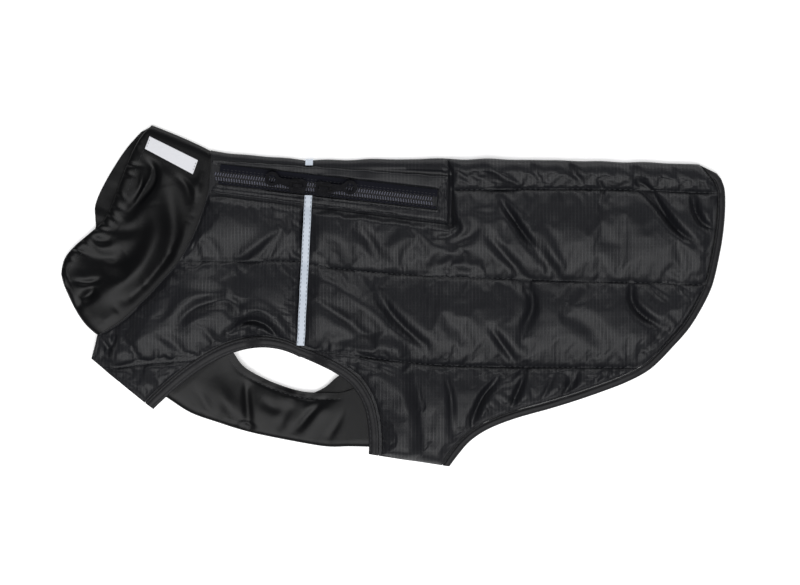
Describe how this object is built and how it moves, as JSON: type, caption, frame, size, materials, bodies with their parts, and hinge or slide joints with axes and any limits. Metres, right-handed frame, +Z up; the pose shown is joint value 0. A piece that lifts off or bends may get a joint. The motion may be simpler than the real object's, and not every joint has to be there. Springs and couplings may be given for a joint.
{
  "type": "dog winter coat",
  "caption": "Padded dog coat laid flat on its side, with a gathered collar, quilted body, zip along the back, leg openings and a bound hem.",
  "frame": {"origin": "on the table, under the middle of the coat's bounding box", "axes": "+X from the neck to the tail, +Y towards the back of the coat, +Z up from the table"},
  "size_m": [0.4504, 0.2316, 0.0174],
  "materials": {
    "shell": "ripstop with a low sheen",
    "satin": "plain weave with a soft sheen",
    "binding": "matt tape",
    "zip_cloth": "matt woven tape",
    "zip_plastic": "gloss",
    "reflective": "fine glass bead tape",
    "label_cloth": "woven, matt"
  },
  "bodies": {
    "coat": {"yoke": "shell", "rear_panel": "shell", "placket": "shell", "chest_panel": "satin", "collar": "satin", "leg_binding_left": "binding", "leg_binding_right": "binding", "hem_binding": "binding", "reflective_stripe_left": "reflective", "reflective_stripe_right": "reflective", "neck_label": "label_cloth", "zip_tape_upper": "zip_cloth", "zip_tape_lower": "zip_cloth", "zip_chain": "zip_plastic", "slider_left": "zip_plastic", "slider_right": "zip_plastic"},
    "pull_left": {"pull_left": "zip_plastic"},
    "pull_right": {"pull_right": "zip_plastic"}
  },
  "joints": [
    {"name": "pull_left_hinge", "type": "hinge", "parent": "coat", "child": "pull_left", "pos_m": [-0.06504, 0.07461, 0.01155], "axis": [0.2524, 0.9676, 0], "range_deg": [0, 100]},
    {"name": "pull_right_hinge", "type": "hinge", "parent": "coat", "child": "pull_right", "pos_m": [-0.04684, 0.0725, 0.01155], "axis": [0.0415, -0.9991, 0], "range_deg": [0, 100]}
  ]
}
